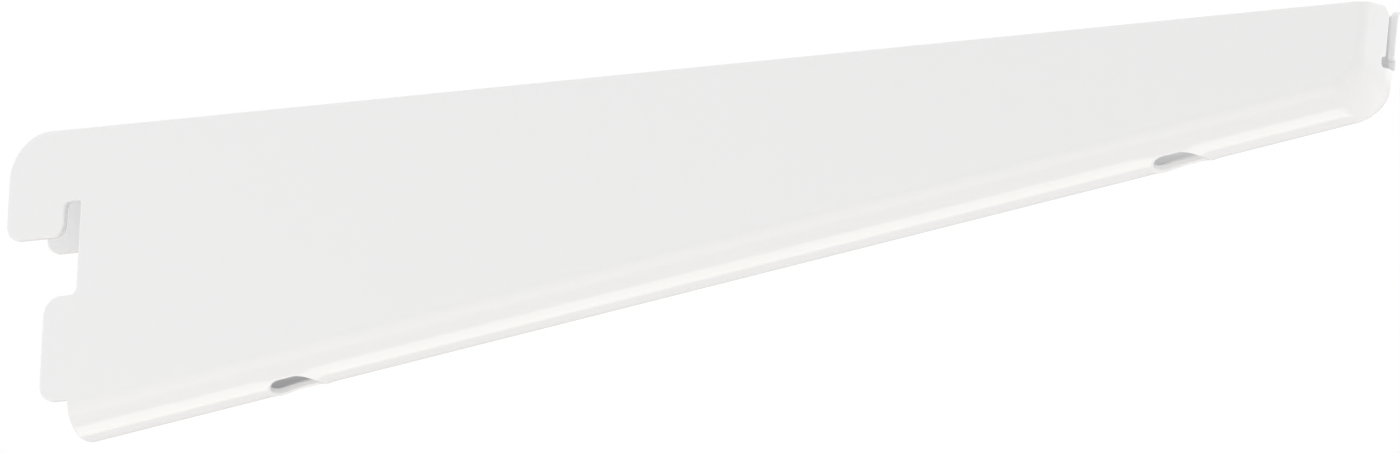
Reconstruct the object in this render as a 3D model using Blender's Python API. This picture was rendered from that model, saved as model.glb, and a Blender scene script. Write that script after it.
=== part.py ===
"""Slotted shelf bracket, pressed and folded from one steel sheet.

Two side plates stand on a round bottom, so the section is a deep U that is open at the top.
The bottom runs up towards the nose, where the plates fold round and close the end except for
a narrow slot. The rear edges carry a pair of down-turned hooks and a pair of lugs, which fit a
twin-slot upright, and two long holes pierce the bottom.

Metres, +Z up. X runs from the upright to the nose, Y across the bracket. The origin lies on
the top edge, where it meets the rear edge, midway between the plates.
"""

from math import atan, cos, pi, radians, sin, tan

import bmesh
import bpy
from mathutils import Matrix, Vector

# Sheet and section
SHEET = 0.0012
WIDTH = 0.0115
ARM_LENGTH = 0.2366
NOSE_HEIGHT = 0.0158
EDGE_RADIUS = 0.00018

# Nose, where the flanges fold towards each other
NOSE_CORNER_RADIUS = 0.0078
NOSE_LEAN = radians(3.5)
FLANGE_FOLD = radians(72)
FLANGE_BEND_RADIUS = 0.0017
FOLD_BEGIN = 0.35
FOLD_END = 1.25

# Hooks, which hang in the upright's slots
HOOK_REACH = 0.0140
HOOK_SHOULDER_RADIUS = 0.0075
HOOK_TIP_RADIUS = 0.0025
HOOK_TIP_INNER_RADIUS = 0.0020
HOOK_OVERLAP = 0.0055
SEAT_DEPTH = 0.01135
THROAT_WIDTH = 0.00295
THROAT_RADIUS = 0.0012
THROAT_REAR_RADIUS = 0.0005

# Lugs, which press against the upright below the hooks
SLOT_PITCH = 0.032
PITCH_CLEARANCE = 0.0008
LUG_HEIGHT = 0.01645
LUG_REACH = 0.0061
LUG_UPPER_RADIUS = 0.0031
LUG_LOWER_RADIUS = 0.0027
LUG_ROOT_RADIUS = 0.0013
LUG_HEEL_RADIUS = 0.0005
HEEL_DROP = 0.00545
HEEL_SETBACK = 0.00063

# Long holes through the bottom
HOLE_LENGTH = 0.0088
HOLE_WIDTH = 0.00615
FIRST_HOLE = 0.0391
HOLE_SPACING = 0.1605
HOLE_COUNT = 2

# Slot between the folded flanges at the nose
SLOT_WIDTH = 0.0021
SLOT_DEPTH = 0.00925
SLOT_MOUTH_RADIUS = 0.0018
MOUTH_LIFT = 0.00004
RELIEF_WIDTH = 0.0035
RELIEF_HEIGHT = 0.0015
RELIEF_RADIUS = 0.0005

# Fineness of the round stretches
BEND_STEPS = 10
FLANGE_BEND_STEPS = 4
CORNER_STEPS = 10
RISE_STEPS = 3
HOLE_END_STEPS = 19
OUTLINE_STEP = radians(15)
TOOL_MARGIN = 0.006

# Places that follow from the sizes above
LUG_BOTTOM = SEAT_DEPTH + SLOT_PITCH - PITCH_CLEARANCE
LUG_TOP = LUG_BOTTOM - LUG_HEIGHT
REAR_HEIGHT = LUG_BOTTOM + HEEL_DROP
BOTTOM_SLOPE = atan((REAR_HEIGHT - NOSE_HEIGHT) / ARM_LENGTH)
HOOK_INNER_EDGE = -THROAT_WIDTH
HOOK_TIP = SEAT_DEPTH + HOOK_OVERLAP

POWDER_COAT_COLOUR = (0.87, 0.87, 0.865, 1.0)
POWDER_COAT_ROUGHNESS = 0.38


def clear_scene():
    """Remove every object that the scene starts with."""
    for scene_object in list(bpy.data.objects):
        bpy.data.objects.remove(scene_object, do_unlink=True)


def powder_coat():
    """White powder coat, satin and not metallic."""
    material = bpy.data.materials.new("white_powder_coat")
    material.use_nodes = True
    shader = material.node_tree.nodes["Principled BSDF"]
    shader.inputs["Base Color"].default_value = POWDER_COAT_COLOUR
    shader.inputs["Roughness"].default_value = POWDER_COAT_ROUGHNESS
    shader.inputs["Metallic"].default_value = 0.0
    material.diffuse_color = POWDER_COAT_COLOUR
    return material


def bottom_height(x):
    """Height of the outer bottom line at a distance from the rear edge."""
    return -REAR_HEIGHT + x * tan(BOTTOM_SLOPE)


def rounded_outline(corners):
    """Points of a closed outline whose corners (x, z, radius) are rounded by arcs."""
    points = []
    for index, (x, z, radius) in enumerate(corners):
        corner = Vector((x, z))
        before = Vector(corners[index - 1][:2])
        after = Vector(corners[(index + 1) % len(corners)][:2])
        if radius == 0:
            points.append(corner)
            continue
        to_before = (before - corner).normalized()
        to_after = (after - corner).normalized()
        half_angle = to_before.angle(to_after) / 2
        turn = pi - 2 * half_angle
        centre = corner + (to_before + to_after).normalized() * radius / sin(half_angle)
        start = corner + to_before * radius / tan(half_angle) - centre
        side = 1 if to_before.cross(to_after) < 0 else -1
        steps = max(2, round(turn / OUTLINE_STEP))
        for step in range(steps + 1):
            rotation = Matrix.Rotation(side * turn * step / steps, 2)
            points.append(centre + rotation @ start)
    return points


def extruded(name, outline, start, travel):
    """Closed prism made by moving an outline of 3-D points from a start along a travel."""
    mesh = bmesh.new()
    face = mesh.faces.new([mesh.verts.new(start + point) for point in outline])
    grown = bmesh.ops.extrude_face_region(mesh, geom=[face])
    moved = [item for item in grown["geom"] if isinstance(item, bmesh.types.BMVert)]
    bmesh.ops.translate(mesh, verts=moved, vec=travel)
    bmesh.ops.recalc_face_normals(mesh, faces=mesh.faces)
    return object_from(mesh, name)


def object_from(mesh, name):
    """Scene object that holds a finished bmesh."""
    data = bpy.data.meshes.new(name)
    mesh.to_mesh(data)
    mesh.free()
    scene_object = bpy.data.objects.new(name, data)
    bpy.context.collection.objects.link(scene_object)
    return scene_object


def edge_path(inset):
    """Stations (point, inward normal, fold) along the bottom and up the nose.

    The path is the lower edge of the side view, moved inwards by the inset. It runs along the
    bottom, round the corner and up the leaning nose, past the arm's rear and top. The fold
    tells how far the section has gone from the half-round bottom, 0, to the flanges, 1.
    """
    along = Vector((cos(BOTTOM_SLOPE), sin(BOTTOM_SLOPE)))
    inward = Vector((-along.y, along.x))
    upward = Vector((sin(NOSE_LEAN), cos(NOSE_LEAN)))
    turn = pi / 2 - BOTTOM_SLOPE - NOSE_LEAN
    heel = Vector((0, -REAR_HEIGHT))
    nose_top = Vector((ARM_LENGTH, 0))
    to_corner = (nose_top - heel).cross(upward) / along.cross(upward)
    setback = NOSE_CORNER_RADIUS * tan(turn / 2)
    centre = heel + along * (to_corner - setback) + inward * NOSE_CORNER_RADIUS
    radius = NOSE_CORNER_RADIUS - inset
    behind = to_corner + HOOK_REACH + TOOL_MARGIN
    stations = [(centre - inward * radius - along * behind, inward, 0)]
    for step in range(CORNER_STEPS + 1):
        share = step / CORNER_STEPS
        normal = Matrix.Rotation(turn * share, 2) @ inward
        stations.append((centre - normal * radius, normal, fold_at(share)))
    corner_end, normal, _ = stations[-1]
    corner_length = NOSE_CORNER_RADIUS * turn
    for step in range(1, RISE_STEPS + 1):
        share = (FOLD_END - 1) * step / RISE_STEPS
        stations.append((corner_end + upward * corner_length * share, normal, fold_at(1 + share)))
    rise = (TOOL_MARGIN - corner_end.y) / upward.y
    stations.append((corner_end + upward * rise, normal, 1))
    return stations


def fold_at(share):
    """Smooth change of the section along the nose corner, in lengths of the corner's arc."""
    ease = min(max((share - FOLD_BEGIN) / (FOLD_END - FOLD_BEGIN), 0), 1)
    return ease * ease * (3 - 2 * ease)


def half_section(inset, fold):
    """Points (distance inwards from the path, distance from the middle) of half a section.

    They run from the plate's side to the middle: a quarter round at the bottom, and at the
    nose a tight bend that goes on as a flat flange.
    """
    lean_back = pi / 2 - FLANGE_FOLD
    bend_across = WIDTH / 2 - FLANGE_BEND_RADIUS
    bend_in = bend_across * tan(lean_back) + FLANGE_BEND_RADIUS / cos(lean_back)
    bend_radius = FLANGE_BEND_RADIUS - inset
    flange_start = Vector((
        bend_in - bend_radius * cos(lean_back) - inset,
        bend_across + bend_radius * sin(lean_back),
    ))
    flange_end = Vector((inset / cos(lean_back) - inset, 0))
    points = []
    for step in range(BEND_STEPS + 1):
        turn = pi / 2 * step / BEND_STEPS
        round_point = (WIDTH / 2 - inset) * Vector((1 - sin(turn), cos(turn)))
        if step <= FLANGE_BEND_STEPS:
            turn = FLANGE_FOLD * step / FLANGE_BEND_STEPS
            nose_point = Vector((
                bend_in - bend_radius * sin(turn) - inset,
                bend_across + bend_radius * cos(turn),
            ))
        else:
            share = (step - FLANGE_BEND_STEPS) / (BEND_STEPS - FLANGE_BEND_STEPS)
            nose_point = flange_start.lerp(flange_end, share)
        points.append(round_point.lerp(nose_point, fold))
    return points


def add_skin(mesh, inset):
    """Add one skin of the folded sheet and return its rim, which lies beyond the trim line."""
    rings = []
    for point, normal, fold in edge_path(inset):
        half = half_section(inset, fold)
        whole = [(inwards, -across) for inwards, across in half]
        whole += reversed(half[:-1])
        ring = []
        for inwards, across in whole:
            place = point + normal * inwards
            ring.append(mesh.verts.new((place.x, across, place.y)))
        rings.append(ring)
    for ring, following in zip(rings, rings[1:]):
        for index in range(len(ring) - 1):
            corners = (ring[index], ring[index + 1], following[index + 1], following[index])
            mesh.faces.new(corners)
    rear_x = rings[0][0].co.x
    half_width = WIDTH / 2 - inset
    near_top = mesh.verts.new((rear_x, -half_width, TOOL_MARGIN))
    far_top = mesh.verts.new((rear_x, half_width, TOOL_MARGIN))
    mesh.faces.new([ring[0] for ring in rings] + [near_top])
    mesh.faces.new([ring[-1] for ring in rings] + [far_top])
    return [near_top] + rings[0] + [far_top] + rings[-1][::-1]


def folded_sheet():
    """Sheet folded into a channel with a closed nose, before its outline is trimmed."""
    mesh = bmesh.new()
    outer_rim = add_skin(mesh, 0)
    inner_rim = add_skin(mesh, SHEET)
    for index in range(len(outer_rim)):
        corners = (outer_rim[index - 1], outer_rim[index], inner_rim[index], inner_rim[index - 1])
        mesh.faces.new(corners)
    bmesh.ops.recalc_face_normals(mesh, faces=mesh.faces)
    return object_from(mesh, "bracket")


def side_outline():
    """Trim line of both plates, seen from the side: hooks, throat, lugs and heel."""
    front = ARM_LENGTH + TOOL_MARGIN
    below = -REAR_HEIGHT - TOOL_MARGIN
    return rounded_outline([
        (front, 0, 0),
        (-HOOK_REACH, 0, HOOK_SHOULDER_RADIUS),
        (-HOOK_REACH, -HOOK_TIP, HOOK_TIP_RADIUS),
        (HOOK_INNER_EDGE, -HOOK_TIP, HOOK_TIP_INNER_RADIUS),
        (HOOK_INNER_EDGE, -SEAT_DEPTH, THROAT_RADIUS),
        (0, -SEAT_DEPTH, THROAT_REAR_RADIUS),
        (0, -LUG_TOP, LUG_ROOT_RADIUS),
        (-LUG_REACH, -LUG_TOP, LUG_UPPER_RADIUS),
        (-LUG_REACH, -LUG_BOTTOM, LUG_LOWER_RADIUS),
        (-HEEL_SETBACK, -LUG_BOTTOM, LUG_HEEL_RADIUS),
        (-HEEL_SETBACK, below, 0),
        (front, below, 0),
    ])


def trim_tool():
    """Slab as wide as the forms and shaped by the side outline, which trims the plates."""
    outline = [Vector((point.x, 0, point.y)) for point in side_outline()]
    reach = WIDTH + TOOL_MARGIN
    return extruded("trim_tool", outline, Vector((0, -reach, 0)), Vector((0, 2 * reach, 0)))


def hole_tool(index):
    """Obround punch that pierces the bottom square to its slope."""
    x = FIRST_HOLE + index * HOLE_SPACING
    half_run = (HOLE_LENGTH - HOLE_WIDTH) / 2
    outline = []
    for side in (1, -1):
        for step in range(HOLE_END_STEPS + 1):
            turn = side * (pi / 2 - pi * step / HOLE_END_STEPS)
            run = side * (half_run + HOLE_WIDTH / 2 * cos(turn))
            outline.append(Vector((run, HOLE_WIDTH / 2 * sin(turn), 0)))
    tool = extruded(f"hole_tool_{index}", outline, Vector((0, 0, -WIDTH)), Vector((0, 0, 2 * WIDTH)))
    tool.location = (x, 0, bottom_height(x))
    tool.rotation_euler = (0, -BOTTOM_SLOPE, 0)
    return tool


def slot_tool():
    """Cutter for the slot between the flanges: rounded mouth, straight sides, wider relief."""
    half_slot = SLOT_WIDTH / 2
    half_relief = RELIEF_WIDTH / 2
    half_mouth = WIDTH / 2 + TOOL_MARGIN
    relief_top = -SLOT_DEPTH + RELIEF_HEIGHT
    right = [
        (half_mouth, TOOL_MARGIN, 0),
        (half_mouth, MOUTH_LIFT, 0),
        (half_slot, MOUTH_LIFT, SLOT_MOUTH_RADIUS),
        (half_slot, relief_top, 0),
        (half_relief, relief_top, RELIEF_RADIUS / 2),
        (half_relief, -SLOT_DEPTH, RELIEF_RADIUS),
    ]
    left = [(-across, z, radius) for across, z, radius in reversed(right)]
    outline = [Vector((0, point.x, point.y)) for point in rounded_outline(right + left)]
    start = Vector((ARM_LENGTH - NOSE_CORNER_RADIUS, 0, 0))
    return extruded("slot_tool", outline, start, Vector((NOSE_CORNER_RADIUS + TOOL_MARGIN, 0, 0)))


def apply_tool(bracket, tool, operation):
    """Combine the bracket with a hidden tool by an exact Boolean."""
    modifier = bracket.modifiers.new(tool.name, "BOOLEAN")
    modifier.operation = operation
    modifier.solver = "EXACT"
    modifier.object = tool
    tool.display_type = "WIRE"
    tool.hide_render = True


def soften_edges(bracket):
    """Round the sheet's cut edges, which the coating leaves slightly soft."""
    bevel = bracket.modifiers.new("coated_edges", "BEVEL")
    bevel.width = EDGE_RADIUS
    bevel.segments = 1
    bevel.limit_method = "ANGLE"
    bevel.angle_limit = radians(50)


def make_bracket():
    """Fold the sheet, trim its outline, pierce the bottom and slot the nose."""
    bracket = folded_sheet()
    apply_tool(bracket, trim_tool(), "INTERSECT")
    for index in range(HOLE_COUNT):
        apply_tool(bracket, hole_tool(index), "DIFFERENCE")
    apply_tool(bracket, slot_tool(), "DIFFERENCE")
    soften_edges(bracket)
    bracket.data.materials.append(powder_coat())
    bracket.data.shade_smooth()
    bracket.data.set_sharp_from_angle(angle=radians(30))
    return bracket


clear_scene()
make_bracket()
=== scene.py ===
import logging
from dataclasses import dataclass, field
from enum import Enum
from math import acos, asin, atan, cos, hypot, pi, radians, sin, tan

import bpy
from mathutils import Matrix, Vector
from mathutils.geometry import delaunay_2d_cdt
from mathutils.kdtree import KDTree


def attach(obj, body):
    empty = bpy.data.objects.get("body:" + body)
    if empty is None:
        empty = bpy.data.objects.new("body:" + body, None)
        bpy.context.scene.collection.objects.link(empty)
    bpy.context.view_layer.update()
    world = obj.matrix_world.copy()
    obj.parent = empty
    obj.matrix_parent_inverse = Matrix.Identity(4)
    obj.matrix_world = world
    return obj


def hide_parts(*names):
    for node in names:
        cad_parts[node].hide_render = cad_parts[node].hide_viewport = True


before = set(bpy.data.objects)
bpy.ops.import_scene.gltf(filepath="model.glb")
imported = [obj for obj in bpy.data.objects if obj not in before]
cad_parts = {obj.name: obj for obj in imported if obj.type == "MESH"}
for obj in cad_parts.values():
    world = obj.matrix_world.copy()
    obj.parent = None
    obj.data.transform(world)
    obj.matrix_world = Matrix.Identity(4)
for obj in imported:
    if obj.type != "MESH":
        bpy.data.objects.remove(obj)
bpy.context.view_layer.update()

log = logging.getLogger("shelf_bracket")

Point = tuple[float, float]

# Rounds a number of parts up, unless it is hardly more than whole
ROUNDING_UP = 0.45
MILLIMETRES = 1000


class Skin(Enum):
    """Skin of the sheet, by its share of the thickness."""

    OUTER = 0.0
    INNER = 1.0

    @property
    def way(self) -> int:
        """Which way the skin faces: out of the bracket, 1, or into the channel, -1."""
        return 1 if self is Skin.OUTER else -1


class Measure(Enum):
    """What a point of the section is measured by, as its number in the point."""

    INWARDS = 0
    ACROSS = 1


class Lights(Enum):
    """What a lamp adds to a surface: its matt light, its reflection or both."""

    MATT = "matt"
    GLOSS = "gloss"
    BOTH = "both"


def rounded_corner(before: Point, corner: Point, after: Point, radius: float,
                   step: float) -> list[Vector]:
    """Round one corner of an outline.

    Args:
        before: The outline's corner before this one.
        corner: The corner itself.
        after: The outline's corner after this one.
        radius: Radius of the arc, or 0 for a sharp corner.
        step: Largest turn between two points of the arc.

    Returns:
        The points of the arc, or the corner alone.
    """
    here = Vector(corner)
    if radius == 0:
        return [here]
    to_before = (Vector(before) - here).normalized()
    to_after = (Vector(after) - here).normalized()
    half_angle = to_before.angle(to_after) / 2
    turn = pi - 2 * half_angle
    centre = here + (to_before + to_after).normalized() * radius / sin(half_angle)
    start = here + to_before * radius / tan(half_angle) - centre
    way = 1 if to_before.cross(to_after) < 0 else -1
    steps = max(2, round(turn / step))
    return [centre + Matrix.Rotation(way * turn * index / steps, 2) @ start
            for index in range(steps + 1)]


def rounded_line(corners: list[tuple[float, float, float]], step: float) -> list[Vector]:
    """Round the inner corners of an open outline.

    Args:
        corners: Corners as two coordinates and a radius. The ends stay as they are.
        step: Largest turn between two points of an arc.

    Returns:
        The points of the outline.
    """
    points = [Vector(corners[0][:2])]
    for before, (across, up, radius), after in zip(corners, corners[1:], corners[2:]):
        points += rounded_corner(before[:2], (across, up), after[:2], radius, step)
    points.append(Vector(corners[-1][:2]))
    return points


def divided(points: list[Vector], longest: float) -> list[Vector]:
    """Divide the long stretches of a line.

    Args:
        points: The line's points.
        longest: Longest stretch that stays whole.

    Returns:
        The line's points with new ones between them.
    """
    result = [points[0]]
    for start, end in zip(points, points[1:]):
        parts = max(1, round((end - start).length / longest + ROUNDING_UP))
        result += [start.lerp(end, part / parts) for part in range(1, parts + 1)]
    return result


@dataclass(frozen=True)
class LowerEdge:
    """Lower edge of the side view: along the bottom, round the corner and up the nose."""

    arm_length: float = 0.2366
    rear_height: float = 0.0480
    nose_height: float = 0.0158
    corner_radius: float = 0.0078
    nose_lean: float = radians(3.5)
    fold_begin: float = 0.35
    fold_end: float = 1.25
    slope: float = field(init=False)
    turn: float = field(init=False)
    corner_length: float = field(init=False)
    along: Vector = field(init=False)
    inward: Vector = field(init=False)
    upward: Vector = field(init=False)
    centre: Vector = field(init=False)

    def __post_init__(self) -> None:
        """Work out the corner that the sizes give."""
        slope = atan((self.rear_height - self.nose_height) / self.arm_length)
        turn = pi / 2 - slope - self.nose_lean
        along = Vector((cos(slope), sin(slope)))
        inward = Vector((-along.y, along.x))
        upward = Vector((sin(self.nose_lean), cos(self.nose_lean)))
        heel = Vector((0, -self.rear_height))
        nose_top = Vector((self.arm_length, 0))
        to_corner = (nose_top - heel).cross(upward) / along.cross(upward)
        setback = self.corner_radius * tan(turn / 2)
        centre = heel + along * (to_corner - setback) + inward * self.corner_radius
        values = {"slope": slope, "turn": turn, "corner_length": self.corner_radius * turn,
                  "along": along, "inward": inward, "upward": upward, "centre": centre}
        for name, value in values.items():
            object.__setattr__(self, name, value)

    def at(self, run: float) -> tuple[Vector, Vector]:
        """Find a point of the edge.

        Args:
            run: Distance along the edge from the start of the nose corner.

        Returns:
            The point and the normal that leads into the side view.
        """
        if run <= 0:
            return self.centre - self.inward * self.corner_radius + self.along * run, self.inward
        bend = min(run, self.corner_length) / self.corner_radius
        normal = Matrix.Rotation(bend, 2) @ self.inward
        beyond = max(run - self.corner_length, 0)
        return self.centre - normal * self.corner_radius + self.upward * beyond, normal

    def locate(self, place: Vector) -> tuple[float, float]:
        """Find a place of the side view by the edge.

        Args:
            place: X and Z of the place.

        Returns:
            The distance along the edge and the distance inwards from it.
        """
        offset = place - self.centre
        if offset.dot(self.along) <= 0:
            return offset.dot(self.along), offset.dot(self.inward) + self.corner_radius
        end_inward = Vector((-self.upward.y, self.upward.x))
        if offset.dot(self.upward) >= 0:
            beyond = offset.dot(self.upward)
            return self.corner_length + beyond, offset.dot(end_inward) + self.corner_radius
        bend = (-self.inward).angle(offset)
        return bend * self.corner_radius, self.corner_radius - offset.length

    def run_at_x(self, x: float) -> float:
        """Distance along the edge of the bottom's point at an X."""
        start = self.at(0)[0]
        return (x - start.x) / self.along.x

    def fold(self, run: float) -> float:
        """Find how far the section has gone from the half-round bottom to the flanges.

        Args:
            run: Distance along the edge from the start of the nose corner.

        Returns:
            0 for half round, 1 for folded flanges.
        """
        share = (run / self.corner_length - self.fold_begin) / (self.fold_end - self.fold_begin)
        ease = min(max(share, 0), 1)
        return ease * ease * (3 - 2 * ease)


@dataclass(frozen=True)
class FoldSection:
    """Half of the section across the channel, from the plate to the middle.

    Along the arm it is a quarter of a round. At the nose it is a tight bend and a straight
    flange, which meets its twin in a soft crease.
    """

    width: float = 0.0115
    flange_fold: float = radians(72)
    flange_bend_radius: float = 0.0017
    flange_bend_share: float = 0.4
    crease_softness: float = 0.0003
    crease_drop: float = 0.2
    halvings: int = 40

    @property
    def lean_back(self) -> float:
        """Angle by which the flange's fold falls short of a right angle."""
        return pi / 2 - self.flange_fold

    @property
    def bend_across(self) -> float:
        """Distance from the middle to the centre of the tight bend at the nose."""
        return self.width / 2 - self.flange_bend_radius

    @property
    def bend_in(self) -> float:
        """Distance inwards at which the tight bend at the nose begins."""
        return (self.bend_across * tan(self.lean_back)
                + self.flange_bend_radius / cos(self.lean_back))

    def start(self, fold: float) -> float:
        """Distance inwards from the lower edge at which the plate begins to bend."""
        return self.width / 2 * (1 - fold) + self.bend_in * fold

    def length(self, fold: float) -> float:
        """Find the length of the section from the plate to the middle, laid flat.

        Args:
            fold: How far the section has gone from half round to flanges.

        Returns:
            The length.
        """
        flange_across = self.bend_across + self.flange_bend_radius * sin(self.lean_back)
        flange = flange_across / cos(self.lean_back) + self.flange_bend_radius * self.flange_fold
        return self.width * pi / 4 * (1 - fold) + flange * fold

    def point(self, depth: float, fold: float, share: float) -> Point:
        """Find a point of the section.

        Args:
            depth: Depth below the outer skin.
            fold: How far the section has gone from half round to flanges.
            share: Share of the way from the plate, 0, to the middle, 1.

        Returns:
            The distance inwards from the lower edge and the distance from the middle.
        """
        turn = pi / 2 * share
        radius = self.width / 2 - depth
        inwards = depth + radius * (1 - sin(turn))
        across = radius * cos(turn)
        if fold > 0:
            nose_inwards, nose_across = self._nose_point(depth, share)
            inwards += (nose_inwards - inwards) * fold
            across += (nose_across - across) * fold
        return inwards, across

    def share_across(self, fold: float, across: float) -> float:
        """Find where the outer skin has a distance from the middle.

        Args:
            fold: How far the section has gone from half round to flanges.
            across: Distance from the middle.

        Returns:
            Share of the way from the plate to the middle.
        """
        if fold == 0:
            return acos(min(across / (self.width / 2), 1)) / (pi / 2)
        return self._halved(fold, Measure.ACROSS, across)

    def share_inwards(self, fold: float, inwards: float) -> float:
        """Find where the outer skin has a distance inwards from the lower edge.

        Args:
            fold: How far the section has gone from half round to flanges.
            inwards: Distance inwards.

        Returns:
            Share of the way from the plate to the middle.
        """
        if fold == 0:
            return asin(min(max(1 - inwards / (self.width / 2), 0), 1)) / (pi / 2)
        return self._halved(fold, Measure.INWARDS, inwards)

    def _halved(self, fold: float, measure: Measure, value: float) -> float:
        """Find where a measure of the outer skin falls to a value, by halving.

        Args:
            fold: How far the section has gone from half round to flanges.
            measure: The measure, which falls from the plate to the middle.
            value: Its value at the place that is sought.

        Returns:
            Share of the way from the plate to the middle.
        """
        low, high = 0.0, 1.0
        for _ in range(self.halvings):
            middle = (low + high) / 2
            if self.point(0, fold, middle)[measure.value] > value:
                low = middle
            else:
                high = middle
        return (low + high) / 2

    def _nose_point(self, depth: float, share: float) -> Point:
        """Find a point of the folded section at the nose.

        Args:
            depth: Depth below the outer skin.
            share: Share of the way from the plate, 0, to the middle, 1.

        Returns:
            The distance inwards from the lower edge and the distance from the middle.
        """
        bend_radius = self.flange_bend_radius - depth
        if share <= self.flange_bend_share:
            turn = self.flange_fold * share / self.flange_bend_share
            return (self.bend_in - bend_radius * sin(turn),
                    self.bend_across + bend_radius * cos(turn))
        start_in = self.bend_in - bend_radius * cos(self.lean_back)
        start_across = self.bend_across + bend_radius * sin(self.lean_back)
        left = (1 - share) / (1 - self.flange_bend_share)
        end_in = depth / cos(self.lean_back)
        full_rise = start_in - end_in
        soft = self.crease_softness
        blend = (full_rise - hypot(full_rise, soft)) * left - self.crease_drop * soft * (1 - left)
        return end_in + hypot(full_rise * left, soft) + blend, start_across * left


@dataclass(frozen=True)
class Relief:
    """Slight swelling of the outer skin round a long hole, where the coating runs thick."""

    middle: float
    half_run: float
    radius: float
    rise: float = 0.00012
    reach: float = 0.0021

    def at(self, run: float, across: float) -> float:
        """Find how far the outer skin stands out.

        Args:
            run: Distance along the lower edge.
            across: Distance from the middle of the channel.

        Returns:
            The distance that the skin stands out from the plain round bottom.
        """
        beyond = max(abs(run - self.middle) - self.half_run, 0)
        away = max(hypot(beyond, across) - self.radius, 0) / self.reach
        return self.rise * max(1 - away * away, 0) ** 3


@dataclass(frozen=True)
class Blank:
    """Flat blank of half the bracket and the way that it folds into shape.

    The blank's plane is the side view where the plate stays flat. Beyond the line where the
    plate begins to bend, the section is laid flat outwards from that line.
    """

    edge: LowerEdge = LowerEdge()
    section: FoldSection = FoldSection()
    thickness: float = 0.0012
    reliefs: tuple[Relief, ...] = ()
    approaches: int = 12
    probe: float = 0.00005

    def place(self, run: float, share: float) -> Vector:
        """Find a place on the blank by the lower edge and the section.

        Args:
            run: Distance along the lower edge from the start of the nose corner.
            share: Share of the way from the plate, 0, to the middle, 1.

        Returns:
            The place.
        """
        point, normal = self.edge.at(run)
        fold = self.edge.fold(run)
        reach = self.section.start(fold) - share * self.section.length(fold)
        return point + normal * reach

    def side_place(self, side_point: Vector) -> Vector:
        """Find the place on the blank of a point of the outer skin.

        Args:
            side_point: X and Z of the point.

        Returns:
            The place.
        """
        run, inwards = self.edge.locate(side_point)
        fold = self.edge.fold(run)
        if inwards >= self.section.start(fold):
            return side_point.copy()
        return self.place(run, self.section.share_inwards(fold, inwards))

    def front_place(self, across: float, height: float) -> Vector:
        """Find the place on the blank of a point of the nose's outer skin.

        Args:
            across: The point's distance from the middle.
            height: Its Z.

        Returns:
            The place.
        """
        run, share = self.edge.corner_length, 0.0
        for _ in range(self.approaches):
            fold = self.edge.fold(run)
            share = self.section.share_across(fold, across)
            inwards = self.section.point(0, fold, share)[0]
            point, normal = self.edge.at(run)
            climb = -normal.x
            run += (height - point.y - normal.y * inwards) / climb
        return self.place(run, share)

    def folded(self, place: Vector, depth: float) -> Vector:
        """Fold a place of the blank into the near half of the bracket.

        Args:
            place: Place on the blank.
            depth: Depth below the outer skin.

        Returns:
            The point in space.
        """
        run, inwards = self.edge.locate(place)
        fold = self.edge.fold(run)
        start = self.section.start(fold)
        if inwards >= start:
            return Vector((place.x, depth - self.section.width / 2, place.y))
        share = (start - inwards) / self.section.length(fold)
        if fold == 0 and share > 0:
            across = self.section.width / 2 * cos(pi / 2 * share)
            rise = sum(relief.at(run, across) for relief in self.reliefs)
            depth -= rise * (1 - depth / self.thickness)
        inwards, across = self.section.point(depth, fold, share)
        point, normal = self.edge.at(run)
        point = point + normal * inwards
        return Vector((point.x, -across, point.y))

    def folded_frame(self, place: Vector, depth: float) -> tuple[Vector, Vector, Vector]:
        """Fold a place and the directions there.

        Args:
            place: Place on the blank.
            depth: Depth below the outer skin.

        Returns:
            The outer skin's normal and the folded X and Y directions of the blank.
        """
        right = Vector((self.probe, 0))
        up = Vector((0, self.probe))
        along_x = self.folded(place + right, depth) - self.folded(place - right, depth)
        along_y = self.folded(place + up, depth) - self.folded(place - up, depth)
        normal = along_x.cross(along_y).normalized()
        return normal, along_x.normalized(), along_y.normalized()


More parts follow.
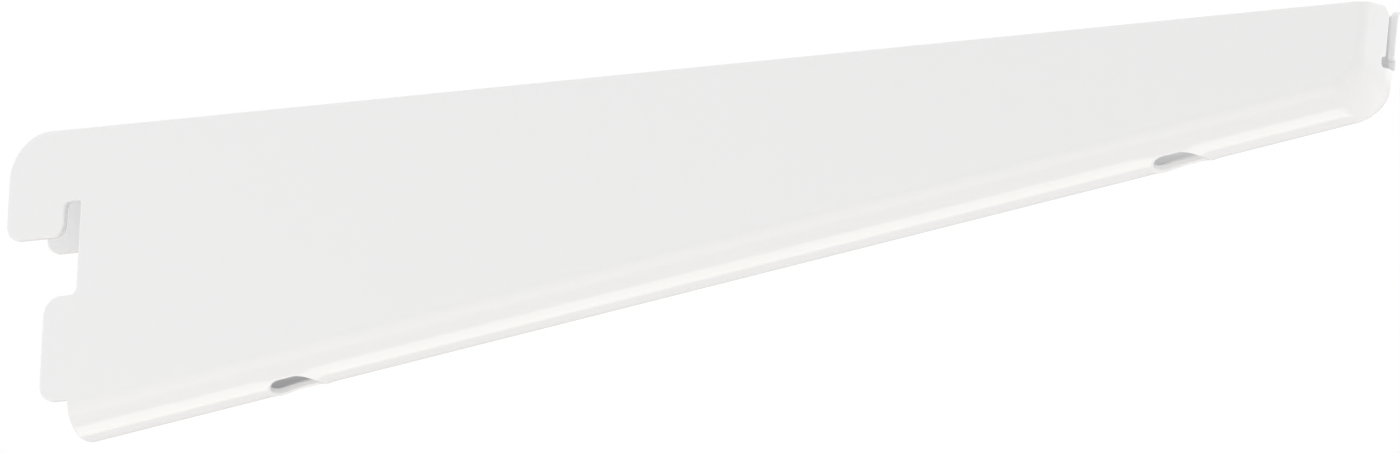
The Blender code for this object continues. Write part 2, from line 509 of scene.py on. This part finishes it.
@dataclass(frozen=True)
class RearFittings:
    """Outline of the rear end: a hook, its throat, a lug and the heel below it."""

    hook_reach: float = 0.0140
    hook_shoulder_radius: float = 0.0075
    hook_tip_radius: float = 0.0025
    hook_tip_inner_radius: float = 0.0020
    hook_overlap: float = 0.0055
    seat_depth: float = 0.01135
    throat_width: float = 0.00295
    throat_radius: float = 0.0012
    throat_rear_radius: float = 0.0005
    lug_bottom: float = 0.04255
    lug_height: float = 0.01645
    lug_reach: float = 0.0061
    lug_upper_radius: float = 0.0031
    lug_lower_radius: float = 0.0027
    lug_root_radius: float = 0.0013
    lug_heel_radius: float = 0.0005
    heel_setback: float = 0.00063
    arc_step: float = radians(6)
    heel_steps: int = 30
    heel_gap: float = 0.0002
    lead: float = 0.004
    spacing: float = 0.0006

    def line(self, blank: Blank) -> list[Vector]:
        """Draw the cut line on the blank.

        Args:
            blank: The blank that is cut.

        Returns:
            Points from the middle of the heel to the start of the top edge.
        """
        hook_tip = self.seat_depth + self.hook_overlap
        lug_top = self.lug_bottom - self.lug_height
        outline = rounded_line([
            (-self.heel_setback, -self.lug_bottom - self.lead, 0),
            (-self.heel_setback, -self.lug_bottom, self.lug_heel_radius),
            (-self.lug_reach, -self.lug_bottom, self.lug_lower_radius),
            (-self.lug_reach, -lug_top, self.lug_upper_radius),
            (0, -lug_top, self.lug_root_radius),
            (0, -self.seat_depth, self.throat_rear_radius),
            (-self.throat_width, -self.seat_depth, self.throat_radius),
            (-self.throat_width, -hook_tip, self.hook_tip_inner_radius),
            (-self.hook_reach, -hook_tip, self.hook_tip_radius),
            (-self.hook_reach, 0, self.hook_shoulder_radius),
            (self.lead, 0, 0),
        ], self.arc_step)[1:-1]
        lowest = outline[0].y
        heel = []
        for index in range(self.heel_steps):
            share = 1 - index / self.heel_steps
            inwards = blank.section.point(0, 0, share)[0]
            point = self._heel_point(blank.edge, inwards)
            if point.y > lowest - self.heel_gap:
                break
            heel.append(blank.place(blank.edge.locate(point)[0], share))
        return heel + [blank.side_place(point) for point in divided(outline, self.spacing)]

    def _heel_point(self, edge: LowerEdge, inwards: float) -> Vector:
        """Find a point of the heel's upright cut.

        Args:
            edge: The lower edge.
            inwards: The point's distance inwards from that edge.

        Returns:
            X and Z of the point.
        """
        start, normal = edge.at(0)
        run = (-self.heel_setback - start.x - normal.x * inwards) / edge.along.x
        return start + edge.along * run + normal * inwards


@dataclass(frozen=True)
class NoseCut:
    """Cut line of the nose: the flange's top and the slot with its wider foot."""

    slot_width: float = 0.0021
    slot_depth: float = 0.00925
    mouth_radius: float = 0.0018
    relief_width: float = 0.0035
    relief_height: float = 0.0015
    relief_radius: float = 0.0005
    shoulder_radius: float = 0.0003
    top_clearance: float = 0.00006
    side_clearance: float = 0.00002
    rear_gap: float = 0.001
    bend_gap: float = 0.0005
    arc_step: float = radians(8)
    top_spacing: float = 0.0030
    spacing: float = 0.0003

    def line(self, blank: Blank, rear: float) -> list[Vector]:
        """Draw the cut line on the blank.

        Args:
            blank: The blank that is cut.
            rear: X at which the straight top edge starts.

        Returns:
            Points from the start of the top edge to the middle of the slot's foot.
        """
        half_slot = self.slot_width / 2
        half_relief = self.relief_width / 2
        relief_top = self.relief_height - self.slot_depth
        edge = blank.edge
        run = edge.corner_length + (-edge.at(edge.corner_length)[0].y) / edge.upward.y
        bend = blank.place(run, 0)
        top = [Vector((rear + self.rear_gap, 0)), Vector((bend.x - self.bend_gap, 0))]
        outline = rounded_line([
            (blank.section.width / 2 - self.side_clearance, -self.top_clearance, 0),
            (half_slot, -self.top_clearance, self.mouth_radius),
            (half_slot, relief_top, self.shoulder_radius),
            (half_relief, relief_top, self.shoulder_radius),
            (half_relief, -self.slot_depth, self.relief_radius),
            (0, -self.slot_depth, 0),
        ], self.arc_step)
        return divided(top, self.top_spacing) + [
            blank.front_place(point.x, point.y) for point in divided(outline, self.spacing)]


@dataclass(frozen=True)
class LongHole:
    """Cut line of one long hole through the round bottom."""

    position: float
    length: float = 0.0088
    width: float = 0.00615
    steps: int = 44
    spacing: float = 0.0003

    @property
    def half_run(self) -> float:
        """Half of the length of the hole's straight sides."""
        return (self.length - self.width) / 2

    def relief(self, edge: LowerEdge) -> Relief:
        """Swelling of the skin round the hole."""
        return Relief(edge.run_at_x(self.position), self.half_run, self.width / 2)

    def line(self, blank: Blank) -> list[Vector]:
        """Draw half of the hole on the blank.

        Args:
            blank: The blank that is cut.

        Returns:
            Points from the middle of its front end to the middle of its rear end.
        """
        middle = blank.edge.run_at_x(self.position)
        radius = self.width / 2
        outline = []
        for index in range(self.steps + 1):
            turn = pi * index / self.steps
            centre = self.half_run if turn < pi / 2 else -self.half_run
            outline.append(Vector((centre + radius * cos(turn), radius * sin(turn))))
        return [blank.place(middle + point.x, blank.section.share_across(0, max(point.y, 0)))
                for point in divided(outline, self.spacing)]


@dataclass
class CutEdge:
    """A cut edge of the blank, which the coating rounds over."""

    points: list[Vector]
    reaches: list[float]
    inner_drop: float = 1.0
    inward: list[Vector] = field(init=False)

    def __post_init__(self) -> None:
        """Work out the directions that lead from the cut into the sheet."""
        self.inward = []
        for index, here in enumerate(self.points):
            before = self.points[max(index - 1, 0)]
            after = self.points[min(index + 1, len(self.points) - 1)]
            ahead = ((after - here).normalized() + (here - before).normalized()).normalized()
            self.inward.append(Vector((ahead.y, -ahead.x)))

    def moved(self, share: float) -> list[Vector]:
        """The edge moved into the sheet by a share of its rounding."""
        return [point + way * (reach * share)
                for point, way, reach in zip(self.points, self.inward, self.reaches)]

    def drop(self, index: int, skin: Skin) -> float:
        """How deep the rounding goes from a skin at one of the points."""
        return self.reaches[index] * (1.0 if skin is Skin.OUTER else self.inner_drop)

    def turn_ends(self, blank: Blank, probe: float) -> None:
        """Turn the directions at both ends along the middle line, where the halves meet.

        Args:
            blank: The blank that is cut.
            probe: Half of the distance over which that line's direction is measured.
        """
        for end in (0, -1):
            run = blank.edge.locate(self.points[end])[0]
            ahead = blank.place(run + probe, 1) - blank.place(run - probe, 1)
            way = 1 if ahead.dot(self.inward[end]) > 0 else -1
            self.inward[end] = ahead.normalized() * way


@dataclass
class Net:
    """Places on the blank that both skins share, and the triangles between them.

    The outline's places come first: each cut edge, then the middle line up to the next one.
    """

    places: list[Vector] = field(default_factory=list)
    on_middle: list[bool] = field(default_factory=list)
    cut_starts: list[int] = field(default_factory=list)
    boundary: int = 0
    triangles: list[tuple[int, ...]] = field(default_factory=list)
    merge_distance: float = 0.000001

    def add_outline(self, cuts: list[CutEdge], seams: list[list[Vector]]) -> None:
        """Add the outline.

        Args:
            cuts: The cut edges.
            seams: The stretch of the middle line after each of them.
        """
        for cut, seam in zip(cuts, seams):
            self.cut_starts.append(len(self.places))
            moved = cut.moved(1)
            self.places += moved + seam
            self.on_middle += [True] + [False] * (len(moved) - 2) + [True] * (len(seam) + 1)
        self.boundary = len(self.places)

    def add_inner(self, candidates: list[Vector], clearance: float) -> None:
        """Add the places that keep clear of the outline.

        Args:
            candidates: The places to choose from.
            clearance: Least distance from the outline's places.
        """
        tree = KDTree(self.boundary)
        for index, place in enumerate(self.places):
            tree.insert((place.x, place.y, 0), index)
        tree.balance()
        inner = [place for place in candidates
                 if tree.find((place.x, place.y, 0))[2] > clearance]
        self.places += inner
        self.on_middle += [False] * len(inner)

    def fill(self) -> None:
        """Fill the outline with triangles, turned so that the near outer skin faces out."""
        scaled = [place * MILLIMETRES for place in self.places]
        outline = {(index, (index + 1) % self.boundary) for index in range(self.boundary)}
        _, _, faces, origins, _, _ = delaunay_2d_cdt(
            scaled, list(outline), [], 0, self.merge_distance, True)
        triangles = []
        for face in faces:
            if any(len(origins[vertex]) != 1 for vertex in face):
                raise ValueError("two places of the blank aren't distinct")
            corners = [origins[vertex][0] for vertex in face]
            first, second, third = (self.places[corner] for corner in corners)
            if (second - first).cross(third - first) < 0:
                corners.reverse()
            triangles.append(tuple(corners))
        self._keep_enclosed(triangles, outline)
        self._drop_unused()

    def _keep_enclosed(self, triangles: list[tuple[int, ...]],
                       outline: set[tuple[int, int]]) -> None:
        """Keep the triangles that the outline encloses.

        They are the ones that can be reached from the first inner place without crossing it.

        Args:
            triangles: Triangles over the whole plane, all turned the same way.
            outline: The outline's edges.
        """
        owners = {}
        for index, triangle in enumerate(triangles):
            for start, end in zip(triangle, triangle[1:] + triangle[:1]):
                owners[(start, end)] = index
        waiting = [index for index, triangle in enumerate(triangles)
                   if self.boundary in triangle]
        kept = set(waiting)
        while waiting:
            triangle = triangles[waiting.pop()]
            for start, end in zip(triangle, triangle[1:] + triangle[:1]):
                beyond = owners.get((end, start))
                crosses = (start, end) in outline or (end, start) in outline
                if beyond is not None and beyond not in kept and not crosses:
                    kept.add(beyond)
                    waiting.append(beyond)
        self.triangles = [triangles[index] for index in sorted(kept)]

    def _drop_unused(self) -> None:
        """Leave out the places that lie in the holes and beyond the outline."""
        used = {corner for triangle in self.triangles for corner in triangle}
        used.update(range(self.boundary))
        kept = sorted(used)
        numbers = {old: new for new, old in enumerate(kept)}
        self.places = [self.places[index] for index in kept]
        self.on_middle = [self.on_middle[index] for index in kept]
        self.triangles = [tuple(numbers[corner] for corner in triangle)
                          for triangle in self.triangles]


@dataclass
class HalfMesh:
    """Mesh of the near half, which its mirror image completes."""

    points: list[Vector] = field(default_factory=list)
    normals: list[Vector] = field(default_factory=list)
    on_middle: list[bool] = field(default_factory=list)
    faces: list[tuple[int, ...]] = field(default_factory=list)

    def add_point(self, point: Vector, normal: Vector, on_middle: bool) -> int:
        """Add a point with its normal.

        Args:
            point: The point.
            normal: The normal there.
            on_middle: Whether it lies on the middle plane, so that both halves share it.

        Returns:
            The point's number.
        """
        if on_middle:
            point = Vector((point.x, 0, point.z))
            normal = Vector((normal.x, 0, normal.z)).normalized()
        self.points.append(point)
        self.normals.append(normal)
        self.on_middle.append(on_middle)
        return len(self.points) - 1

    def add_strips(self, rings: list[list[int]]) -> None:
        """Add a strip of faces from each line of points to the next one.

        Args:
            rings: The lines as numbers of points, all of the same length.
        """
        for ring, following in zip(rings, rings[1:]):
            for index in range(len(ring) - 1):
                self.faces.append((ring[index], ring[index + 1],
                                   following[index + 1], following[index]))

    def whole(self, name: str) -> bpy.types.Mesh:
        """Join the half to its mirror image.

        Args:
            name: Name of the mesh.

        Returns:
            The whole mesh, with its normals.
        """
        points = list(self.points)
        normals = list(self.normals)
        twins = []
        for index, (point, normal) in enumerate(zip(self.points, self.normals)):
            if self.on_middle[index]:
                twins.append(index)
                continue
            twins.append(len(points))
            points.append(Vector((point.x, -point.y, point.z)))
            normals.append(Vector((normal.x, -normal.y, normal.z)))
        far_faces = [tuple(twins[corner] for corner in reversed(face)) for face in self.faces]
        mesh = bpy.data.meshes.new(name)
        mesh.from_pydata(points, [], self.faces + far_faces)
        mesh.shade_smooth()
        mesh.normals_split_custom_set_from_vertices(normals)
        return mesh


@dataclass(frozen=True)
class PowderCoat:
    """White powder coat: satin, with the faint peel that the baked powder leaves."""

    name: str = "white_powder_coat"
    colour: tuple[float, float, float] = (0.871, 0.869, 0.875)
    roughness: float = 0.10
    peel_size: float = 0.0016
    peel_detail: float = 1.5
    peel_strength: float = 0.045
    peel_depth: float = 0.00005

    def material(self) -> bpy.types.Material:
        """Build the material.

        Returns:
            The material with its procedural nodes.
        """
        material = bpy.data.materials.new(self.name)
        material.use_nodes = True
        nodes = material.node_tree.nodes
        links = material.node_tree.links
        shader = nodes["Principled BSDF"]
        shader.inputs["Base Color"].default_value = (*self.colour, 1)
        shader.inputs["Roughness"].default_value = self.roughness
        place = nodes.new("ShaderNodeTexCoord")
        peel = nodes.new("ShaderNodeTexNoise")
        peel.inputs["Scale"].default_value = 1 / self.peel_size
        peel.inputs["Detail"].default_value = self.peel_detail
        bump = nodes.new("ShaderNodeBump")
        bump.inputs["Strength"].default_value = self.peel_strength
        bump.inputs["Distance"].default_value = self.peel_depth
        links.new(place.outputs["Object"], peel.inputs["Vector"])
        links.new(peel.outputs["Fac"], bump.inputs["Height"])
        links.new(bump.outputs["Normal"], shader.inputs["Normal"])
        return material


@dataclass(frozen=True)
class Bracket:
    """The bracket: one folded sheet with hooks, lugs, long holes and a slotted nose.

    Its cut edges are rounded by the coating, less so towards the nose. The skins have columns
    of points across the bend, which stand closer round the holes and at the nose.
    """

    fittings: RearFittings = RearFittings()
    nose: NoseCut = NoseCut()
    holes: tuple[LongHole, ...] = (LongHole(0.0391), LongHole(0.1996))
    blank: Blank = field(init=False)
    coat: PowderCoat = PowderCoat()
    rear_rounding: float = 0.00038
    nose_rounding: float = 0.00025
    rounding_change_start: float = 0.01
    rounding_change_length: float = 0.2
    hole_rounding: float = 0.00050
    hole_inner_drop: float = 0.5
    edge_steps: int = 5
    seam_spacing: float = 0.0005
    seam_probe: float = 0.0001
    bend_rows: int = 28
    first_column: float = 0.0005
    column_gap: float = 0.0012
    hole_column_gap: float = 0.0004
    hole_column_reach: float = 0.004
    nose_column_gap: float = 0.0003
    nose_column_start: float = -0.001
    nose_column_reach: float = 0.0095
    outline_clearance: float = 0.00022

    def __post_init__(self) -> None:
        """Give the blank its swelling round the holes."""
        edge = LowerEdge()
        reliefs = tuple(hole.relief(edge) for hole in self.holes)
        object.__setattr__(self, "blank", Blank(edge=edge, reliefs=reliefs))

    def build(self) -> bpy.types.Object:
        """Build the bracket.

        Returns:
            The bracket's object.
        """
        cuts = self._cuts()
        net = self._net(cuts)
        half = HalfMesh()
        self._add_skins(half, net)
        for cut, start in zip(cuts, net.cut_starts):
            self._add_rounding(half, cut, start, start + len(net.places))
        mesh = half.whole("bracket_skin")
        bracket = bpy.data.objects.new("bracket_skin", mesh)
        bpy.context.collection.objects.link(bracket)
        mesh.materials.append(self.coat.material())
        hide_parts("bracket")
        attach(bracket, "root")
        return bracket

    def _cuts(self) -> list[CutEdge]:
        """Draw the cut edges on the blank.

        Returns:
            The outer edge from the heel to the nose's slot, and the holes from there back.
        """
        rear_line = self.fittings.line(self.blank)
        nose_line = self.nose.line(self.blank, rear_line[-1].x)
        reaches = [self.rear_rounding] * len(rear_line)
        for point in nose_line:
            along = (point.x - self.rounding_change_start) / self.rounding_change_length
            share = min(max(along, 0), 1)
            reaches.append(self.rear_rounding + (self.nose_rounding - self.rear_rounding) * share)
        cuts = [CutEdge(rear_line + nose_line, reaches)]
        for hole in reversed(self.holes):
            line = hole.line(self.blank)
            cuts.append(CutEdge(line, [self.hole_rounding] * len(line), self.hole_inner_drop))
        for cut in cuts:
            cut.turn_ends(self.blank, self.seam_probe)
        return cuts

    def _net(self, cuts: list[CutEdge]) -> Net:
        """Spread points over the blank and join them with triangles.

        Args:
            cuts: The cut edges.

        Returns:
            The places and triangles that both skins share.
        """
        net = Net()
        net.add_outline(cuts, self._seams(cuts))
        candidates = [self.blank.place(run, row / self.bend_rows)
                      for run in self._columns() for row in range(self.bend_rows)]
        net.add_inner(candidates, self.outline_clearance)
        net.fill()
        return net

    def _seams(self, cuts: list[CutEdge]) -> list[list[Vector]]:
        """Divide the stretches of the middle line between the cut edges.

        Args:
            cuts: The cut edges.

        Returns:
            The places on the stretch after each cut edge.
        """
        seams = []
        for cut, following in zip(cuts, cuts[1:] + cuts[:1]):
            start = self.blank.edge.locate(cut.moved(1)[-1])[0]
            end = self.blank.edge.locate(following.moved(1)[0])[0]
            steps = max(2, round(abs(end - start) / self.seam_spacing))
            runs = [start + (end - start) * step / steps for step in range(1, steps)]
            seams.append([self.blank.place(run, 1) for run in runs])
        return seams

    def _columns(self) -> list[float]:
        """Choose where the bend gets a column of points.

        Returns:
            Distances along the lower edge from the start of the nose corner.
        """
        edge = self.blank.edge
        top = edge.corner_length + self.nose_column_reach
        runs = []
        run = edge.run_at_x(self.first_column)
        while run < top:
            runs.append(run)
            gap = self.nose_column_gap if run > self.nose_column_start else self.column_gap
            for hole in self.holes:
                away = abs(run - edge.run_at_x(hole.position)) - hole.length / 2
                if away < self.hole_column_reach:
                    gap = min(gap, self.hole_column_gap)
            run += gap
        return runs

    def _add_skins(self, half: HalfMesh, net: Net) -> None:
        """Fold the outer and the inner skin.

        Args:
            half: The mesh that they are added to.
            net: The places and triangles that both skins share.
        """
        for skin in Skin:
            depth = self.blank.thickness * skin.value
            base = len(half.points)
            for place, on_middle in zip(net.places, net.on_middle):
                normal = self.blank.folded_frame(place, depth)[0] * skin.way
                half.add_point(self.blank.folded(place, depth), normal, on_middle)
            for triangle in net.triangles:
                half.faces.append(tuple(base + corner for corner in triangle[::skin.way]))

    def _add_rounding(self, half: HalfMesh, cut: CutEdge, outer: int, inner: int) -> None:
        """Round a cut edge from the outer skin to the inner one.

        Args:
            half: The mesh that the edge is added to.
            cut: The cut edge.
            outer: Number of the edge's first point on the outer skin.
            inner: Number of its first point on the inner skin.
        """
        size = len(cut.points)
        rings = [list(range(outer, outer + size))]
        for skin, turn in self._edge_turns():
            ring = []
            for index, place in enumerate(cut.moved(1 - sin(turn))):
                drop = cut.drop(index, skin)
                depth = self.blank.thickness * skin.value + skin.way * drop * (1 - cos(turn))
                normal, along_x, along_y = self.blank.folded_frame(place, depth)
                inward = cut.inward[index]
                outward = -(along_x * inward.x + along_y * inward.y).normalized()
                facing = (outward * (sin(turn) * drop)
                          + normal * (skin.way * cos(turn) * cut.reaches[index])).normalized()
                ring.append(half.add_point(self.blank.folded(place, depth), facing,
                                           index in (0, size - 1)))
            rings.append(ring)
        rings.append(list(range(inner, inner + size)))
        half.add_strips(rings)

    def _edge_turns(self) -> list[tuple[Skin, float]]:
        """List the steps of a rounded cut edge from the outer skin to the inner one.

        Returns:
            The skin that each step belongs to, and how far it has turned away from it.
        """
        turns = [pi / 2 * step / self.edge_steps for step in range(1, self.edge_steps + 1)]
        return [(Skin.OUTER, turn) for turn in turns] + [
            (Skin.INNER, turn) for turn in reversed(turns)]


@dataclass(frozen=True)
class Softbox:
    """A rectangular lamp that faces a point."""

    name: str
    place: tuple[float, float, float]
    target: tuple[float, float, float]
    width: float
    height: float
    radiance: float
    lights: Lights = Lights.BOTH
    tint: tuple[float, float, float] = (1, 1, 1)

    def build(self) -> bpy.types.Object:
        """Build the lamp.

        Returns:
            The lamp's object.
        """
        data = bpy.data.lights.new(self.name, "AREA")
        data.shape = "RECTANGLE"
        data.color = self.tint
        data.size = self.width
        data.size_y = self.height
        data.energy = self.radiance * pi * self.width * self.height
        lamp = bpy.data.objects.new(self.name, data)
        lamp.location = self.place
        facing = Vector(self.target) - Vector(self.place)
        lamp.rotation_euler = facing.to_track_quat("-Z", "Y").to_euler()
        lamp.visible_camera = False
        lamp.visible_diffuse = self.lights is not Lights.GLOSS
        lamp.visible_glossy = self.lights is not Lights.MATT
        bpy.context.collection.objects.link(lamp)
        return lamp


@dataclass(frozen=True)
class Studio:
    """Pale floor, white surroundings and soft lamps.

    The matt lamps only shade the coat, as softly as in the photo. The gloss lamps are only
    reflected, and the one below gives the bright band along the round bottom.
    """

    floor_height: float = -0.40
    floor_size: float = 40.0
    floor_colour: tuple[float, float, float] = (0.81, 0.80, 0.78)
    floor_roughness: float = 0.9
    surround: float = 0.71
    surround_seen: float = 1.0
    softboxes: tuple[Softbox, ...] = (
        Softbox("lamp_above", (0.1, 0, 1.4), (0.1, 0, 0), 1.6, 1.2, 0.45),
        Softbox("lamp_above_behind", (0.1, 1.0, 1.2), (0.1, 0, 0), 1.6, 1.0, 0.70),
        Softbox("lamp_behind", (0.1, 1.6, 0.35), (0.1, 0, 0), 1.6, 1.0, 0.58),
        Softbox("lamp_nose_behind", (1.2, 1.0, 0.15), (0.15, 0, 0), 0.8, 0.6, 0.98),
        Softbox("lamp_nose_front", (1.3, -1.2, 0.35), (0.1, 0, 0), 1.0, 1.0, 0.68, Lights.MATT),
        Softbox("lamp_nose_below", (0.72, -0.55, -0.29), (0.2, 0, -0.02), 0.6, 0.2, 1.27,
                Lights.MATT),
        Softbox("lamp_nose_under", (0.90, 0.28, -0.29), (0.22, 0, -0.02), 0.6, 0.2, 2.1,
                Lights.MATT),
        Softbox("lamp_front_below", (0.1, -0.55, -0.30), (0.1, 0, -0.02), 0.9, 0.25, 0.20),
        Softbox("lamp_rear", (-1.0, 0.1, 0.6), (0, 0, -0.02), 0.8, 0.8, 1.4, Lights.MATT),
        Softbox("lamp_left_front", (-0.45, -0.75, 0), (0, 0, -0.02), 0.5, 0.5, 0.34,
                Lights.MATT),
        Softbox("lamp_left_side", (-0.75, -0.24, 0.05), (0, 0, -0.02), 0.5, 0.4, 1.0,
                Lights.MATT),
        Softbox("lamp_left_near", (-0.45, -0.45, -0.20), (0, 0, -0.02), 0.5, 0.4, 0.72,
                Lights.MATT),
        Softbox("lamp_left_below", (-0.20, -0.42, -0.22), (0, 0, -0.03), 0.5, 0.30, 0.45,
                Lights.GLOSS),
        Softbox("lamp_below", (-0.0125, 0.0463, -0.31), (-0.0125, 0.0463, 0), 0.375, 0.193, 1.55,
                Lights.GLOSS, (1.11, 1, 0.90)),
    )

    def build(self) -> None:
        """Build the floor, the surroundings and the lamps."""
        self._floor()
        self._surround()
        for softbox in self.softboxes:
            softbox.build()

    def _floor(self) -> None:
        """Build the floor."""
        half = self.floor_size / 2
        corners = [(-half, -half, 0), (half, -half, 0), (half, half, 0), (-half, half, 0)]
        mesh = bpy.data.meshes.new("floor")
        mesh.from_pydata(corners, [], [(0, 1, 2, 3)])
        mesh.materials.append(self._floor_material())
        floor = bpy.data.objects.new("floor", mesh)
        floor.location.z = self.floor_height
        bpy.context.collection.objects.link(floor)

    def _floor_material(self) -> bpy.types.Material:
        """Build the floor's material, which is clear from below, where the photo looks from.

        Returns:
            The material.
        """
        material = bpy.data.materials.new("pale_floor")
        material.use_nodes = True
        nodes = material.node_tree.nodes
        links = material.node_tree.links
        shader = nodes["Principled BSDF"]
        shader.inputs["Base Color"].default_value = (*self.floor_colour, 1)
        shader.inputs["Roughness"].default_value = self.floor_roughness
        faces = nodes.new("ShaderNodeNewGeometry")
        clear = nodes.new("ShaderNodeBsdfTransparent")
        mix = nodes.new("ShaderNodeMixShader")
        links.new(faces.outputs["Backfacing"], mix.inputs["Fac"])
        links.new(shader.outputs["BSDF"], mix.inputs[1])
        links.new(clear.outputs["BSDF"], mix.inputs[2])
        links.new(mix.outputs["Shader"], nodes["Material Output"].inputs["Surface"])
        return material

    def _surround(self) -> None:
        """Light the world evenly and show it white to the camera and in reflections."""
        world = bpy.data.worlds.new("studio")
        world.use_nodes = True
        bpy.context.scene.world = world
        nodes = world.node_tree.nodes
        links = world.node_tree.links
        background = nodes["Background"]
        background.inputs["Color"].default_value = (1, 1, 1, 1)
        rays = nodes.new("ShaderNodeLightPath")
        seen = rays.outputs["Is Camera Ray"]
        for kind in ("Is Transmission Ray", "Is Glossy Ray"):
            either = nodes.new("ShaderNodeMath")
            either.operation = "MAXIMUM"
            links.new(seen, either.inputs[0])
            links.new(rays.outputs[kind], either.inputs[1])
            seen = either.outputs["Value"]
        strength = nodes.new("ShaderNodeMapRange")
        strength.inputs["To Min"].default_value = self.surround
        strength.inputs["To Max"].default_value = self.surround_seen
        links.new(seen, strength.inputs["Value"])
        links.new(strength.outputs["Result"], background.inputs["Strength"])


@dataclass(frozen=True)
class PhotoCamera:
    """Camera at the photograph's view, far away behind a long lens."""

    target: tuple[float, float, float] = (0.11633, -0.0050, -0.0245)
    back: tuple[float, float, float] = (0.56893, -0.79798, -0.19887)
    right: tuple[float, float, float] = (0.81879, 0.57223, 0.04631)
    distance: float = 3.0
    frame_width: float = 0.20992
    sensor_width: float = 36.0
    clip_start: float = 0.1
    clip_end: float = 50.0

    def build(self) -> bpy.types.Object:
        """Build the camera and make it the scene's.

        Returns:
            The camera's object.
        """
        data = bpy.data.cameras.new("photo_camera")
        data.sensor_width = self.sensor_width
        data.lens = self.sensor_width * self.distance / self.frame_width
        data.clip_start = self.clip_start
        data.clip_end = self.clip_end
        camera = bpy.data.objects.new("photo_camera", data)
        back = Vector(self.back).normalized()
        right = Vector(self.right)
        right = (right - back * right.dot(back)).normalized()
        up = back.cross(right)
        rotation = Matrix((right, up, back)).transposed()
        camera.matrix_world = Matrix.Translation(
            Vector(self.target) + back * self.distance) @ rotation.to_4x4()
        bpy.context.collection.objects.link(camera)
        bpy.context.scene.camera = camera
        return camera


def main() -> None:
    """Build the camera, the bracket and the studio, and report each piece."""
    logging.basicConfig(level=logging.INFO, format="%(name)s: %(message)s")
    bpy.context.scene.view_settings.view_transform = "Standard"
    camera = PhotoCamera().build()
    log.info("camera with a %.0f mm lens", camera.data.lens)
    bracket = Bracket().build()
    log.info("%s with %d faces", bracket.name, len(bracket.data.polygons))
    studio = Studio()
    studio.build()
    log.info("studio with %d softboxes", len(studio.softboxes))


if __name__ == "__main__":
    main()
